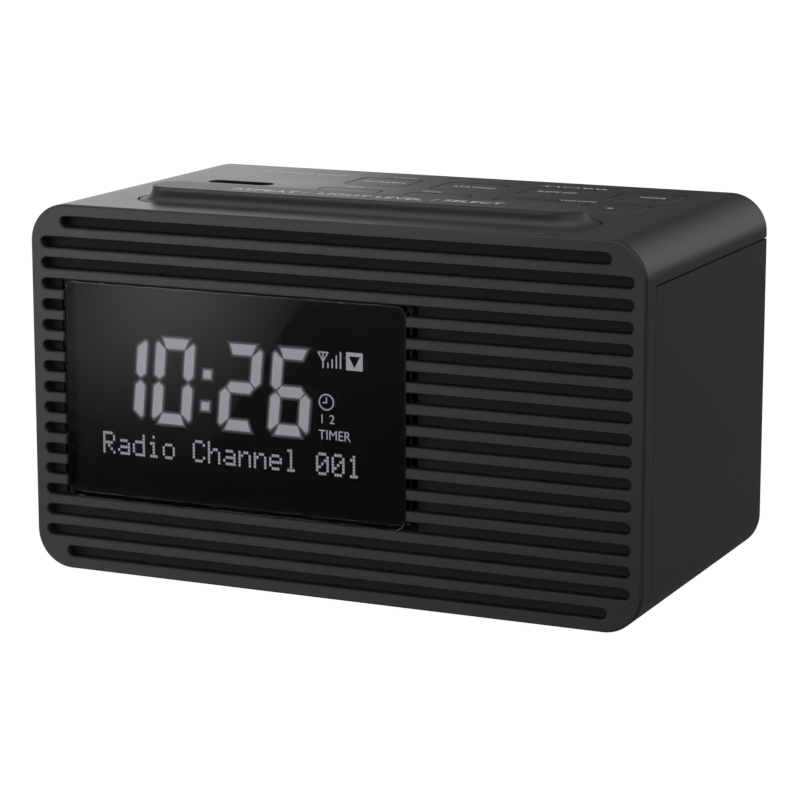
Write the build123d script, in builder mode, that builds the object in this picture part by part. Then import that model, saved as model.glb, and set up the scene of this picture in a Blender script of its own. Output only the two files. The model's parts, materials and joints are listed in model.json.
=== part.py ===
from build123d import *
import os

os.makedirs("parts", exist_ok=True)

# Tabletop radio, millimetres.  X runs across the width, Y from front to back, Z up.
# The origin is on the table under the middle of the body.

# ---------------------------------------------------------------- driving dimensions
body_width = 170.0
body_depth = 95.0
body_height = 97.0
corner_radius = 10.0
wall = 2.2
foot_height = 1.5

front_y = -body_depth / 2
rear_y = body_depth / 2
base_z = foot_height
top_z = base_z + body_height
mid_z = base_z + body_height / 2
ceiling_z = top_z - wall

# front panel and its slots
lip_depth = 0.8
groove_depth = 0.5
panel_depth = 3.2
ring_front_y = front_y + lip_depth + groove_depth
ring_back_y = -40.3
panel_back_y = front_y + panel_depth
slot_count = 17
slot_pitch = 5.49
slot_height = 2.8
slot_length = 163.8
end_slot_length = 152.0
slot_lip = 0.35
stake_points = [(x, mid_z + side * 7.5 * slot_pitch) for x in (-60, 0, 60) for side in (-1, 1)]

# display window, as high as eleven slots
window_x = -26.7
window_width = 97.7
window_height = 10 * slot_pitch + slot_height
lens_gap = 0.15
lens_front_y = front_y + 0.3
lens_flange = 2.0
lens_flange_depth = 1.0

# layers behind the panel
cloth_depth = 0.4
baffle_front_y = panel_back_y + cloth_depth
baffle_depth = 2.0
baffle_back_y = baffle_front_y + baffle_depth

# seam round the cabinet
seam_z = 87.2
seam_gap = 0.5
tongue_inset = 1.1
tongue_height = 2.0

# snooze bar
bar_y = -24.4
bar_length = 127.8
bar_width = 20.0
bar_rise = 3.7
bar_cove = 3.5
bar_travel = 0.8

# buttons: name, centre x, centre y
button_width = 17.5
button_depth = 15.0
button_gap = 0.35
back_row_y = 27.7
front_row_y = 4.6
buttons = [
    ("display", -18.4, back_row_y),
    ("preset", 7.1, back_row_y),
    ("sleep", 32.4, back_row_y),
    ("band", 58.0, back_row_y),
    ("alarm_one", -19.7, front_row_y),
    ("alarm_two", 6.0, front_row_y),
    ("volume_down", 31.4, front_row_y),
    ("volume_up", 56.5, front_row_y),
]
switch_points = [(x, y) for name, x, y in buttons]
snooze_points = [(-40, bar_y), (40, bar_y)]
flange_depth = 1.2
flange_top_z = ceiling_z - 0.1
flange_base_z = flange_top_z - flange_depth

# key board, hung from the top cover
key_board_top_z = 83.6
board_thickness = 1.6
key_board_z = key_board_top_z - board_thickness
key_board_x = 5.0
key_board_y = 1.25
key_board_width = 142.0
key_board_depth = 64.5
key_posts = [(-60, 28), (-60, -8), (72, 16), (72, -8)]
switch_height = 3.5
plunger_top_z = 88.3
plunger_base_z = 86.0
plunger_radius = 1.7

# charging socket in its recess
usb_x = -53.25
usb_y = 10.55
usb_recess_length = 19.5
usb_recess_width = 5.9
usb_recess_depth = 1.2
usb_length = 13.1
usb_width = 5.7
usb_top_z = top_z - usb_recess_depth

# loudspeaker behind the right of the panel
speaker_x = 53.0
speaker_z = mid_z
speaker_hole_radius = 25.0
speaker_rim_radius = 27.5
basket_front_y = -40.7
ear_reach = 31.0
coil_radius = 7.7
gap_clearance = 0.3
magnet_front_y = -21.0
magnet_back_y = -13.0
yoke_back_y = -10.0

# main board on the floor
main_board_z = 8.0
main_board_top_z = main_board_z + board_thickness
main_board_width = 120.0
main_board_front_y = -8.0
main_board_back_y = 40.0
main_posts = [(-54, -3), (54, 33), (-54, 28), (5, -3)]

# back of the cabinet
jack_x = 28.0
jack_z = 16.4
aerial_x = 50.0
aerial_z = 16.4
vent_count = 16
vent_pitch = 6.0
vent_length = 20.0
vent_z = 68.0

# battery bay and its door
bay_left = -62.0
bay_right = -11.0
bay_base_z = 18.0
bay_top_z = 46.0
bay_front_y = 32.5
bay_wall = 1.5
door_gap = 0.3
hinge_radius = 1.6
hinge_pin_radius = 0.8
hinge_y = rear_y - hinge_radius
hinge_z = bay_base_z + door_gap + hinge_radius
cell_radius = 5.2
cell_length = 43.7
cell_heights = (25.6, 38.0)
cell_y = 38.6

# screws: the pilot holes are as wide as the shanks
cabinet_screw_radius = 1.5
cabinet_head_radius = 2.8
small_screw_radius = 1.2
small_head_radius = 2.2
head_height = 1.8
recess_depth = 0.8
rear_screws = [(-72, 38), (72, 38)]
front_screws = [(-70, -34.5), (70, -34.5)]
well_radius = 3.3
well_top_z = 76.0
feet_points = [(x, y) for x in (-56, 56) for y in (-33, 33)]


# ---------------------------------------------------------------- small helpers
def at_y(y):
    # plane facing the front at depth y: local x is X, local y is Z
    return Plane.XZ.offset(-y)


def at_z(z):
    return Plane.XY.offset(z)


def body_outline(inset):
    # the body's rounded front outline, drawn smaller by the inset
    with Locations((0, mid_z)):
        RectangleRounded(body_width - 2 * inset, body_height - 2 * inset, corner_radius - inset)


def lying_box(left, right, front, back):
    # rectangle on a horizontal plane, given by its four sides
    with Locations(((left + right) / 2, (front + back) / 2)):
        Rectangle(right - left, back - front)


def upright_box(left, right, low, high):
    # rectangle on a plane facing the front, given by its four sides
    with Locations(((left + right) / 2, (low + high) / 2)):
        Rectangle(right - left, high - low)


def save(piece, name):
    piece.part.label = name
    export_step(piece.part, f"parts/{name}.step")


# ---------------------------------------------------------------- front panel
with BuildPart() as front_panel:
    with BuildSketch(at_y(front_y + lip_depth)):
        body_outline(0)
    extrude(amount=lip_depth)
    chamfer(front_panel.faces().sort_by(Axis.Y)[0].edges(), 0.4)
    with BuildSketch(at_y(ring_front_y)):
        body_outline(0.6)
    extrude(amount=groove_depth)
    with BuildSketch(at_y(panel_back_y)):
        body_outline(wall + 0.2)
    extrude(amount=panel_back_y - ring_front_y)
    with BuildSketch(at_y(panel_back_y)):
        with Locations((0, mid_z)):
            with GridLocations(0, slot_pitch, 1, slot_count - 2):
                SlotOverall(slot_length, slot_height)
            with GridLocations(0, slot_pitch * (slot_count - 1), 1, 2):
                SlotOverall(end_slot_length, slot_height)
        with Locations((window_x, mid_z)):
            Rectangle(window_width, window_height)
    extrude(amount=panel_depth, mode=Mode.SUBTRACT)
    face = front_panel.faces().filter_by(Axis.Y).sort_by(Axis.Y)[0]
    chamfer([edge for wire in face.inner_wires() for edge in wire.edges()], slot_lip)
    # heat stakes behind the bars, with mushroomed heads behind the baffle
    with BuildSketch(at_y(baffle_back_y)):
        with Locations(*stake_points):
            Circle(1.0)
    extrude(amount=baffle_back_y - panel_back_y)
    with BuildSketch(at_y(baffle_back_y + 0.7)):
        with Locations(*stake_points):
            Circle(1.7)
    extrude(amount=0.7)
save(front_panel, "front_panel")

# smoked window: a block that fills the opening, held by a flange behind the panel
lens_width = window_width - 2 * lens_gap
lens_height = window_height - 2 * lens_gap
with BuildPart() as display_lens:
    with BuildSketch(at_y(panel_back_y)):
        with Locations((window_x, mid_z)):
            RectangleRounded(lens_width, lens_height, 3.0)
    extrude(amount=panel_back_y - lens_front_y)
    fillet(display_lens.faces().sort_by(Axis.Y)[0].edges(), 0.3)
    with BuildSketch(at_y(panel_back_y + lens_flange_depth)):
        with Locations((window_x, mid_z)):
            RectangleRounded(lens_width + 2 * lens_flange, lens_height + 2 * lens_flange, 4.0)
    extrude(amount=lens_flange_depth)
save(display_lens, "display_lens")

with BuildPart() as speaker_cloth:
    with BuildSketch(at_y(baffle_front_y)):
        body_outline(wall + 0.6)
        with Locations((window_x, mid_z)):
            RectangleRounded(lens_width + 5.2, lens_height + 5.2, 4.5, mode=Mode.SUBTRACT)
        with Locations(*stake_points):
            Circle(1.1, mode=Mode.SUBTRACT)
    extrude(amount=cloth_depth)
save(speaker_cloth, "speaker_cloth")

# ---------------------------------------------------------------- baffle
ear_points = [
    (speaker_x + side * ear_reach * 0.7071, speaker_z + level * ear_reach * 0.7071)
    for side in (-1, 1)
    for level in (-1, 1)
]
corner_screws = [(side * 77.5, mid_z + level * 41.0) for side in (-1, 1) for level in (-1, 1)]
display_screw_columns = (-60, 8)
display_screw_points = [(x, mid_z + level * 35.5) for x in display_screw_columns for level in (-1, 1)]
display_boss_y = -37.0
ear_depth = 1.2
ear_back_y = display_boss_y + ear_depth
with BuildPart() as speaker_baffle:
    with BuildSketch(at_y(baffle_back_y)):
        body_outline(wall + 0.4)
    extrude(amount=baffle_depth)
    with BuildSketch(at_y(display_boss_y)):
        with Locations(*display_screw_points):
            Circle(2.6)
    extrude(amount=display_boss_y - baffle_back_y)
    with BuildSketch(at_y(basket_front_y)):
        with Locations(*ear_points):
            Circle(3.0)
    extrude(amount=basket_front_y - baffle_back_y)
    with BuildSketch(at_y(baffle_back_y)):
        with Locations((window_x, mid_z)):
            Rectangle(lens_width + 6.0, lens_height + 6.0)
        with Locations((speaker_x, speaker_z)):
            Circle(speaker_hole_radius)
        with Locations(*stake_points):
            Circle(1.1)
    extrude(amount=baffle_depth, mode=Mode.SUBTRACT)
    with BuildSketch(at_y(basket_front_y)):
        with Locations(*ear_points):
            Circle(small_screw_radius)
    extrude(amount=2.6, mode=Mode.SUBTRACT)
    with BuildSketch(at_y(baffle_back_y)):
        with Locations(*corner_screws):
            Circle(small_screw_radius)
    extrude(amount=1.9, mode=Mode.SUBTRACT)
    with BuildSketch(at_y(display_boss_y)):
        with Locations(*display_screw_points):
            Circle(small_screw_radius)
    extrude(amount=5.0, mode=Mode.SUBTRACT)
save(speaker_baffle, "speaker_baffle")

# ---------------------------------------------------------------- cabinet
# the whole hollow box, open at the front, from which both halves are cut
with BuildPart() as cabinet_shell:
    with BuildSketch(at_y(rear_y)):
        body_outline(0)
    extrude(amount=rear_y - ring_front_y)
    fillet(cabinet_shell.faces().sort_by(Axis.Y)[-1].edges(), 1.2)
    with BuildSketch(at_y(rear_y - wall)):
        body_outline(wall)
    extrude(amount=body_depth, mode=Mode.SUBTRACT)

half_width = body_width / 2
post_radius = 3.0
tab_back_y = -30.0
tab_low_z = 5.1
tab_high_z = 11.0
with BuildPart() as upper_cabinet:
    add(cabinet_shell.part)
    # everything behind the ring and below the seam belongs to the lower half
    with BuildSketch(at_z(0)):
        lying_box(-half_width - 1, half_width + 1, ring_back_y, rear_y + 1)
    extrude(amount=seam_z, mode=Mode.SUBTRACT)
    # rebate that takes the lower half's tongue
    with BuildSketch(at_z(seam_z)):
        lying_box(-half_width + 1, half_width - 1, ring_back_y, rear_y - 1)
    extrude(amount=tongue_height - 0.2, mode=Mode.SUBTRACT)
    # corner gussets that the baffle is screwed to
    with BuildSketch(at_y(ring_back_y)):
        body_outline(wall - 0.1)
        with Locations((0, mid_z)):
            with GridLocations(2 * half_width - 18, body_height - 18, 2, 2):
                Rectangle(18, 18, mode=Mode.INTERSECT)
    extrude(amount=ring_back_y - baffle_back_y)
    # tabs on the ring's floor for the two front screws
    with BuildSketch(at_z(tab_low_z)):
        for x, y in front_screws:
            lying_box(x - 5, x + 5, baffle_back_y, tab_back_y)
    extrude(amount=tab_high_z - tab_low_z)
    # bosses for the rear screws and posts for the key board
    with BuildSketch(at_z(well_top_z + 2.1)):
        with Locations(*rear_screws):
            Circle(4.0)
    extrude(amount=ceiling_z + 0.2 - well_top_z - 2.1)
    with BuildSketch(at_z(key_board_top_z)):
        with Locations(*key_posts):
            Circle(post_radius)
    extrude(amount=ceiling_z + 0.2 - key_board_top_z)
    # openings for the bar, the buttons and the charging socket
    with BuildSketch(at_z(ceiling_z - 1)):
        with Locations((0, bar_y)):
            SlotOverall(bar_length + 1.2, bar_width + 2 * button_gap)
        with Locations(*switch_points):
            RectangleRounded(button_width + 2 * button_gap, button_depth + 2 * button_gap, 2.3)
        with Locations((usb_x, usb_y)):
            Rectangle(usb_length + 0.4, usb_width + 0.2)
    extrude(amount=wall + 2, mode=Mode.SUBTRACT)
    with BuildSketch(at_z(usb_top_z)):
        with Locations((usb_x, usb_y)):
            SlotOverall(usb_recess_length, usb_recess_width)
    extrude(amount=usb_recess_depth + 1, mode=Mode.SUBTRACT)
    # pilot holes
    with BuildSketch(at_z(well_top_z)):
        with Locations(*rear_screws):
            Circle(cabinet_screw_radius)
    extrude(amount=14, mode=Mode.SUBTRACT)
    with BuildSketch(at_z(tab_low_z)):
        with Locations(*front_screws):
            Circle(cabinet_screw_radius)
    extrude(amount=tab_high_z - tab_low_z, mode=Mode.SUBTRACT)
    with BuildSketch(at_z(key_board_top_z)):
        with Locations(*key_posts):
            Circle(small_screw_radius)
    extrude(amount=7, mode=Mode.SUBTRACT)
    with BuildSketch(at_y(ring_back_y)):
        with Locations(*corner_screws):
            Circle(small_screw_radius)
    extrude(amount=ring_back_y - baffle_back_y, mode=Mode.SUBTRACT)
save(upper_cabinet, "upper_cabinet")

inner_floor_z = base_z + wall
inner_rear_y = rear_y - wall
tub_front_y = ring_back_y + 0.2
tub_top_z = seam_z - seam_gap
with BuildPart() as lower_cabinet:
    add(cabinet_shell.part)
    with BuildSketch(at_z(0)):
        lying_box(-half_width - 1, half_width + 1, front_y - 1, tub_front_y)
    extrude(amount=top_z + 1, mode=Mode.SUBTRACT)
    with BuildSketch(at_z(tub_top_z)):
        lying_box(-half_width - 1, half_width + 1, front_y - 1, rear_y + 1)
    extrude(amount=top_z, mode=Mode.SUBTRACT)
    # tongue round the inside of the seam
    with BuildSketch(at_z(tub_top_z - 3)):
        tongue_x = half_width - tongue_inset
        lying_box(-tongue_x, tongue_x, tub_front_y, rear_y - tongue_inset)
        inner_x = half_width - wall
        with Locations((0, (front_y + inner_rear_y) / 2)):
            Rectangle(2 * inner_x, inner_rear_y - front_y, mode=Mode.SUBTRACT)
    extrude(amount=3 + tongue_height)
    # screw wells, pads for the front screws and posts for the main board
    with BuildSketch(at_z(base_z)):
        with Locations(*rear_screws):
            Circle(well_radius + 1.2)
    extrude(amount=well_top_z + 2 - base_z)
    with BuildSketch(at_z(base_z)):
        with Locations(*front_screws):
            Circle(5.0)
    extrude(amount=3.5)
    with BuildSketch(at_z(base_z)):
        with Locations(*main_posts):
            Circle(post_radius)
    extrude(amount=main_board_z - base_z)
    # battery bay: a pocket let into the back
    with BuildSketch(at_y(inner_rear_y + 0.5)):
        upright_box(bay_left - bay_wall, bay_right + bay_wall, bay_base_z - bay_wall, bay_top_z + bay_wall)
    extrude(amount=inner_rear_y + 0.5 - bay_front_y + bay_wall)
    with BuildSketch(at_y(rear_y)):
        upright_box(bay_left, bay_right, bay_base_z, bay_top_z)
    extrude(amount=rear_y - bay_front_y, mode=Mode.SUBTRACT)
    # holes for the door's pins and a finger dip above the door
    with BuildSketch(Plane.YZ.offset(bay_left - 1.4)):
        with Locations((hinge_y, hinge_z)):
            Circle(hinge_pin_radius + 0.1)
    extrude(amount=bay_right - bay_left + 2.8, mode=Mode.SUBTRACT)
    with BuildSketch(at_y(rear_y)):
        with Locations(((bay_left + bay_right) / 2, bay_top_z)):
            SlotOverall(16, 6)
    extrude(amount=1.0, mode=Mode.SUBTRACT)
    # vents, power inlet and aerial outlet through the back
    with BuildSketch(at_y(rear_y)):
        with Locations((0, vent_z)):
            with GridLocations(vent_pitch, 1, vent_count, 1):
                SlotOverall(vent_length, 2.4, rotation=90)
        with Locations((jack_x, jack_z)):
            Circle(4.2)
        with Locations((aerial_x, aerial_z)):
            Circle(3.0)
    extrude(amount=wall, mode=Mode.SUBTRACT)
    with BuildSketch(at_y(rear_y)):
        with Locations((jack_x, jack_z)):
            Circle(6.0)
        with Locations((aerial_x, aerial_z)):
            Circle(4.6)
    extrude(amount=0.9, mode=Mode.SUBTRACT)
    # wells, counterbores, pilot holes and foot recesses from below
    with BuildSketch(at_z(base_z)):
        with Locations(*rear_screws):
            Circle(well_radius)
    extrude(amount=well_top_z - base_z, mode=Mode.SUBTRACT)
    with BuildSketch(at_z(base_z)):
        with Locations(*rear_screws, *front_screws):
            Circle(cabinet_screw_radius + 0.2)
    extrude(amount=well_top_z + 2, mode=Mode.SUBTRACT)
    with BuildSketch(at_z(base_z)):
        with Locations(*front_screws):
            Circle(3.1)
    extrude(amount=wall, mode=Mode.SUBTRACT)
    with BuildSketch(at_z(inner_floor_z)):
        with Locations(*main_posts):
            Circle(small_screw_radius)
    extrude(amount=main_board_z - inner_floor_z, mode=Mode.SUBTRACT)
    with BuildSketch(at_z(base_z)):
        with Locations(*feet_points):
            Circle(6.2)
    extrude(amount=0.5, mode=Mode.SUBTRACT)
save(lower_cabinet, "lower_cabinet")

with BuildPart() as rubber_feet:
    with BuildSketch(at_z(0)):
        with Locations(*feet_points):
            Circle(6.0)
    extrude(amount=foot_height + 0.5)
    chamfer(rubber_feet.edges().group_by(Axis.Z)[0], 0.4)
save(rubber_feet, "rubber_feet")

# ---------------------------------------------------------------- snooze bar
bar_straight = bar_length - bar_width
bar_half = bar_width / 2
bar_top_z = top_z + bar_rise
bar_crown = bar_half - bar_cove
cove_z = top_z + bar_cove
with BuildPart() as snooze_bar:
    # straight middle: flat crown, short upright edges, coves flaring down to the base
    with BuildSketch(Plane.YZ.offset(-bar_straight / 2)):
        with BuildLine():
            Polyline(
                (bar_y - bar_crown, cove_z), (bar_y - bar_crown, bar_top_z),
                (bar_y + bar_crown, bar_top_z), (bar_y + bar_crown, cove_z),
            )
            CenterArc((bar_y + bar_half, cove_z), bar_cove, 180, 90)
            Line((bar_y + bar_half, top_z), (bar_y - bar_half, top_z))
            CenterArc((bar_y - bar_half, cove_z), bar_cove, 270, 90)
        make_face()
    extrude(amount=bar_straight)
    # rounded ends with the same half profile
    for end_x in (-bar_straight / 2, bar_straight / 2):
        with BuildSketch(Plane.YZ.offset(end_x)):
            with BuildLine():
                Polyline(
                    (bar_y + bar_half, top_z), (bar_y, top_z), (bar_y, bar_top_z),
                    (bar_y + bar_crown, bar_top_z), (bar_y + bar_crown, cove_z),
                )
                CenterArc((bar_y + bar_half, cove_z), bar_cove, 180, 90)
            make_face()
        revolve(axis=Axis((end_x, bar_y, 0), (0, 0, 1)))
    fillet(snooze_bar.faces().sort_by(Axis.Z)[-1].edges(), 0.3)
    # skirt through the cover and the flange that holds it under the cover
    with BuildSketch(at_z(flange_base_z)):
        with Locations((0, bar_y)):
            SlotOverall(bar_length, bar_width)
    extrude(amount=top_z - flange_base_z)
    with BuildSketch(at_z(flange_base_z)):
        with Locations((0, bar_y)):
            SlotOverall(bar_length + 3.2, bar_width + 2.4)
    extrude(amount=flange_depth)
    # hollow underside with two posts that press the switches
    with BuildSketch(at_z(flange_base_z)):
        with Locations((0, bar_y)):
            SlotOverall(bar_length - 4, bar_width - 4)
    extrude(amount=top_z - 0.4 - flange_base_z, mode=Mode.SUBTRACT)
    with BuildSketch(at_z(flange_base_z)):
        with Locations((0, bar_y)):
            SlotOverall(bar_length - 10, bar_width - 10)
    extrude(amount=bar_top_z - 2 - flange_base_z, mode=Mode.SUBTRACT)
    with BuildSketch(at_z(plunger_top_z)):
        with Locations(*snooze_points):
            Circle(2.5)
    extrude(amount=bar_top_z - 1.5 - plunger_top_z)
save(snooze_bar, "snooze_bar")

# ---------------------------------------------------------------- buttons and switches
for name, button_x, button_y in buttons:
    with BuildPart() as button:
        with BuildSketch(at_z(flange_top_z)):
            with Locations((button_x, button_y)):
                RectangleRounded(button_width, button_depth, 2.0)
        extrude(amount=top_z - flange_top_z)
        fillet(button.faces().sort_by(Axis.Z)[-1].edges(), 0.3)
        with BuildSketch(at_z(flange_base_z)):
            with Locations((button_x, button_y)):
                RectangleRounded(button_width + 1.6, button_depth + 1.6, 2.4)
        extrude(amount=flange_depth)
        with BuildSketch(at_z(flange_base_z)):
            with Locations((button_x, button_y)):
                RectangleRounded(button_width - 3.2, button_depth - 3.2, 1.0)
        extrude(amount=2.0, mode=Mode.SUBTRACT)
        with BuildSketch(at_z(plunger_top_z)):
            with Locations((button_x, button_y)):
                Circle(2.5)
        extrude(amount=top_z - 1 - plunger_top_z)
    save(button, f"{name}_button")
    with BuildPart() as plunger:
        with BuildSketch(at_z(plunger_base_z)):
            with Locations((button_x, button_y)):
                Circle(plunger_radius)
        extrude(amount=plunger_top_z - plunger_base_z)
    save(plunger, f"{name}_plunger")

with BuildPart() as snooze_plungers:
    with BuildSketch(at_z(plunger_base_z)):
        with Locations(*snooze_points):
            Circle(plunger_radius)
    extrude(amount=plunger_top_z - plunger_base_z)
save(snooze_plungers, "snooze_plungers")

# bodies of the tact switches, bored so that the plungers can sink into them
with BuildPart() as tact_switches:
    with BuildSketch(at_z(key_board_top_z)):
        with Locations(*switch_points, *snooze_points):
            Rectangle(6, 6)
    extrude(amount=switch_height)
    with BuildSketch(at_z(plunger_base_z - bar_travel - 0.3)):
        with Locations(*switch_points, *snooze_points):
            Circle(plunger_radius + gap_clearance)
    extrude(amount=switch_height, mode=Mode.SUBTRACT)
save(tact_switches, "tact_switches")

with BuildPart() as key_board:
    with BuildSketch(at_z(key_board_z)):
        with Locations((key_board_x, key_board_y)):
            RectangleRounded(key_board_width, key_board_depth, 1.5)
        with Locations(*key_posts):
            Circle(small_screw_radius, mode=Mode.SUBTRACT)
    extrude(amount=board_thickness)
save(key_board, "key_board")

# ---------------------------------------------------------------- charging socket
with BuildPart() as usb_socket:
    with BuildSketch(at_z(key_board_top_z)):
        with Locations((usb_x, usb_y)):
            Rectangle(usb_length, usb_width)
    extrude(amount=usb_top_z - key_board_top_z)
    with BuildSketch(at_z(key_board_top_z + 2)):
        with Locations((usb_x, usb_y)):
            Rectangle(usb_length - 0.6, usb_width - 0.6)
    extrude(amount=usb_top_z - key_board_top_z, mode=Mode.SUBTRACT)
save(usb_socket, "usb_socket")

with BuildPart() as usb_tongue:
    with BuildSketch(at_z(key_board_top_z + 2)):
        with Locations((usb_x, usb_y + 1.1)):
            Rectangle(11.1, 1.84)
    extrude(amount=usb_top_z - 0.9 - key_board_top_z - 2)
save(usb_tongue, "usb_tongue")

# ---------------------------------------------------------------- display module
lcd_width = 92.0
lcd_height = 50.0
lens_back_y = panel_back_y + lens_flange_depth
lcd_front_y = lens_back_y + 0.2
lcd_back_y = lcd_front_y + 2.2
guide_front_y = lcd_back_y + 0.6
guide_back_y = guide_front_y + 3.0
holder_back_y = guide_back_y + 0.6
with BuildPart() as lcd_holder:
    with BuildSketch(at_y(holder_back_y)):
        with Locations((window_x, mid_z)):
            Rectangle(lcd_width + 6, lcd_height + 6)
    extrude(amount=holder_back_y - lcd_front_y)
    # ears on the baffle's bosses, clear of the board behind the holder
    with BuildSketch(at_y(ear_back_y)):
        with Locations(*[(x, mid_z) for x in display_screw_columns]):
            Rectangle(7.0, 78.0)
        with Locations((window_x, mid_z)):
            Rectangle(lcd_width + 10, lcd_height + 3.6, mode=Mode.SUBTRACT)
    extrude(amount=ear_depth)
    with BuildSketch(at_y(lcd_back_y)):
        with Locations((window_x, mid_z)):
            Rectangle(lcd_width, lcd_height)
    extrude(amount=lcd_back_y - lcd_front_y, mode=Mode.SUBTRACT)
    with BuildSketch(at_y(holder_back_y + 2)):
        with Locations((window_x, mid_z)):
            Rectangle(lcd_width, lcd_height)
    extrude(amount=holder_back_y + 2 - guide_front_y, mode=Mode.SUBTRACT)
    with BuildSketch(at_y(holder_back_y)):
        with Locations((window_x, mid_z)):
            Rectangle(lcd_width - 4, lcd_height - 4)
    extrude(amount=holder_back_y - lcd_front_y, mode=Mode.SUBTRACT)
    with BuildSketch(at_y(ear_back_y)):
        with Locations(*display_screw_points):
            Circle(small_screw_radius)
    extrude(amount=ear_depth, mode=Mode.SUBTRACT)
save(lcd_holder, "lcd_holder")

with BuildPart() as lcd_glass:
    with BuildSketch(at_y(lcd_back_y)):
        with Locations((window_x, mid_z)):
            Rectangle(lcd_width - 0.2, lcd_height - 0.2)
    extrude(amount=lcd_back_y - lcd_front_y)
save(lcd_glass, "lcd_glass")

with BuildPart() as backlight_guide:
    with BuildSketch(at_y(guide_back_y)):
        with Locations((window_x, mid_z)):
            Rectangle(lcd_width - 0.2, lcd_height - 0.2)
    extrude(amount=guide_back_y - guide_front_y)
save(backlight_guide, "backlight_guide")

display_board_y = holder_back_y + board_thickness
with BuildPart() as display_board:
    with BuildSketch(at_y(display_board_y)):
        with Locations((window_x, mid_z)):
            Rectangle(lcd_width + 5, lcd_height + 3)
    extrude(amount=board_thickness)
save(display_board, "display_board")

# ---------------------------------------------------------------- loudspeaker
speaker_plane = Plane((speaker_x, 0, speaker_z))
speaker_axis = Axis((speaker_x, 0, speaker_z), (0, 1, 0))


def turned(name, outline):
    # a piece turned about the speaker's axis from its outline of (radius, y) points
    with BuildPart() as piece:
        with BuildSketch(speaker_plane):
            with BuildLine():
                Polyline(*outline, close=True)
            make_face()
        revolve(axis=speaker_axis)
    save(piece, name)


rim_back_y = basket_front_y + 1.0
with BuildPart() as speaker_basket:
    with BuildSketch(speaker_plane):
        with BuildLine():
            Polyline(
                (25.0, basket_front_y), (28.5, basket_front_y), (28.5, rim_back_y), (26.0, rim_back_y),
                (20.5, -28.4), (18.1, -28.4), (18.1, -24.0), (8.2, -24.0), (8.2, -25.0), (17.2, -25.0),
                (17.2, -29.3), (19.6, -29.3), close=True,
            )
        make_face()
    revolve(axis=speaker_axis)
    with BuildSketch(at_y(rim_back_y)):
        with Locations(*ear_points):
            Circle(4.0)
        with Locations((speaker_x, speaker_z)):
            Circle(26.5, mode=Mode.SUBTRACT)
    extrude(amount=1.0)
    # windows in the cone-shaped wall
    with BuildSketch(at_y(-31.0)):
        with Locations((speaker_x, speaker_z)):
            with PolarLocations(22, 6):
                Rectangle(10, 11)
    extrude(amount=7.0, mode=Mode.SUBTRACT)
    with BuildSketch(at_y(rim_back_y)):
        with Locations(*ear_points):
            Circle(small_screw_radius)
    extrude(amount=1.0, mode=Mode.SUBTRACT)
save(speaker_basket, "speaker_basket")

rim_front_y = basket_front_y - 0.4
turned("speaker_gasket", [
    (25.2, baffle_back_y), (speaker_rim_radius, baffle_back_y),
    (speaker_rim_radius, rim_front_y), (25.2, rim_front_y),
])

# half-roll surround between the rim and the cone
with BuildPart() as speaker_surround:
    with BuildSketch(speaker_plane):
        with Locations((23.15, rim_front_y)):
            Circle(1.45)
            Circle(1.05, mode=Mode.SUBTRACT)
            Rectangle(4, 2, align=(Align.CENTER, Align.MIN), mode=Mode.SUBTRACT)
        with Locations((24.2, rim_front_y)):
            Rectangle(speaker_rim_radius - 24.2, 0.4, align=(Align.MIN, Align.MIN))
        with Locations((20.6, rim_front_y - 0.4)):
            Rectangle(1.4, 0.4, align=(Align.MIN, Align.MIN))
    revolve(axis=speaker_axis)
save(speaker_surround, "speaker_surround")

turned("speaker_cone", [
    (20.2, rim_front_y), (21.6, rim_front_y), (21.6, rim_front_y + 0.5), (20.75, rim_front_y + 0.5),
    (coil_radius, -30.9), (coil_radius, -31.7),
])

cap_centre_y = -25.0
cap_radius = 11.5
with BuildPart() as dust_cap:
    with BuildSketch(speaker_plane):
        with Locations((0, cap_centre_y)):
            Circle(cap_radius)
            Circle(cap_radius - 0.4, mode=Mode.SUBTRACT)
        with Locations((0, -32.6)):
            Rectangle(cap_radius, cap_radius, align=(Align.MIN, Align.MAX), mode=Mode.INTERSECT)
    revolve(axis=speaker_axis)
save(dust_cap, "dust_cap")

turned("voice_coil", [
    (coil_radius - 0.55, -32.3), (coil_radius, -32.3), (coil_radius, -22.0), (coil_radius - 0.55, -22.0),
])

# corrugated spider that centres the coil
spider_y = -29.7
with BuildPart() as speaker_spider:
    with BuildSketch(speaker_plane):
        with BuildLine() as spider_line:
            Polyline(
                (7.8, spider_y), (9.4, spider_y), (10.4, spider_y - 0.9), (11.6, spider_y + 0.9),
                (12.8, spider_y - 0.9), (14.0, spider_y + 0.9), (15.2, spider_y - 0.9),
                (16.2, spider_y), (19.2, spider_y),
            )
        trace(line_width=0.4)
    revolve(axis=speaker_axis)
save(speaker_spider, "speaker_spider")

turned("speaker_top_plate", [
    (coil_radius + gap_clearance, -24.0), (20.0, -24.0), (20.0, magnet_front_y),
    (coil_radius + gap_clearance, magnet_front_y),
])
turned("speaker_magnet", [
    (11.0, magnet_front_y), (22.5, magnet_front_y), (22.5, magnet_back_y), (11.0, magnet_back_y),
])
turned("speaker_yoke", [
    (0, -24.0), (coil_radius - 0.85, -24.0), (coil_radius - 0.85, magnet_back_y),
    (21.0, magnet_back_y), (21.0, yoke_back_y), (0, yoke_back_y),
])

lead_points = [speaker_x - 2.5, speaker_x + 2.5]
terminal_z = speaker_z - 26.5
with BuildPart() as speaker_terminals:
    with BuildSketch(at_z(terminal_z)):
        with Locations((speaker_x, -33.0)):
            Rectangle(12, 8)
    extrude(amount=1.2)
    with BuildSketch(at_z(terminal_z - 2)):
        with Locations(*[(x, -33.0) for x in lead_points]):
            Circle(0.8)
    extrude(amount=2)
save(speaker_terminals, "speaker_terminals")

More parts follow.
